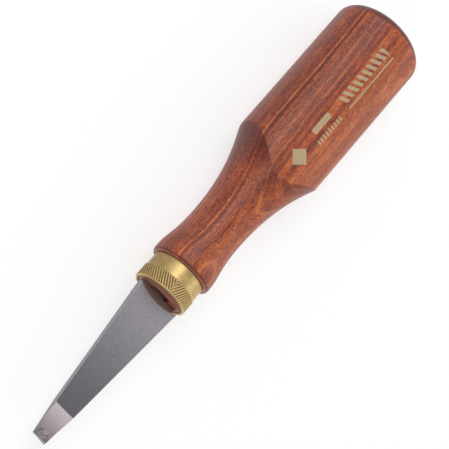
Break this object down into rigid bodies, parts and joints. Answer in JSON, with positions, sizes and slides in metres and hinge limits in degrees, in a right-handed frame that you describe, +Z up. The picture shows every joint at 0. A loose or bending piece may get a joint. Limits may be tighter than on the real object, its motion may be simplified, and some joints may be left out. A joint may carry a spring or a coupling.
{
  "type": "edge beveler",
  "caption": "Leatherworking edge beveler: tapered steel blade with a hollow-ground tip and chip dish, knurled brass ferrule and oval turned wooden handle.",
  "frame": {"origin": "centre of the tool's footprint, on the plane of the grip's flat underside", "axes": "+X along the tool from the cutting tip towards the butt, +Z up out of the blade's facet side, +Y sideways so that the frame is right-handed"},
  "size_m": [0.1682, 0.0302, 0.0234],
  "materials": {
    "blade_steel": "matte ground, facet polished",
    "ferrule_brass": "satin, front band knurled",
    "handle_wood": "stained beech, satin oil"
  },
  "bodies": {
    "root": {"blade": "blade_steel", "ferrule": "ferrule_brass", "handle": "handle_wood"}
  },
  "joints": []
}
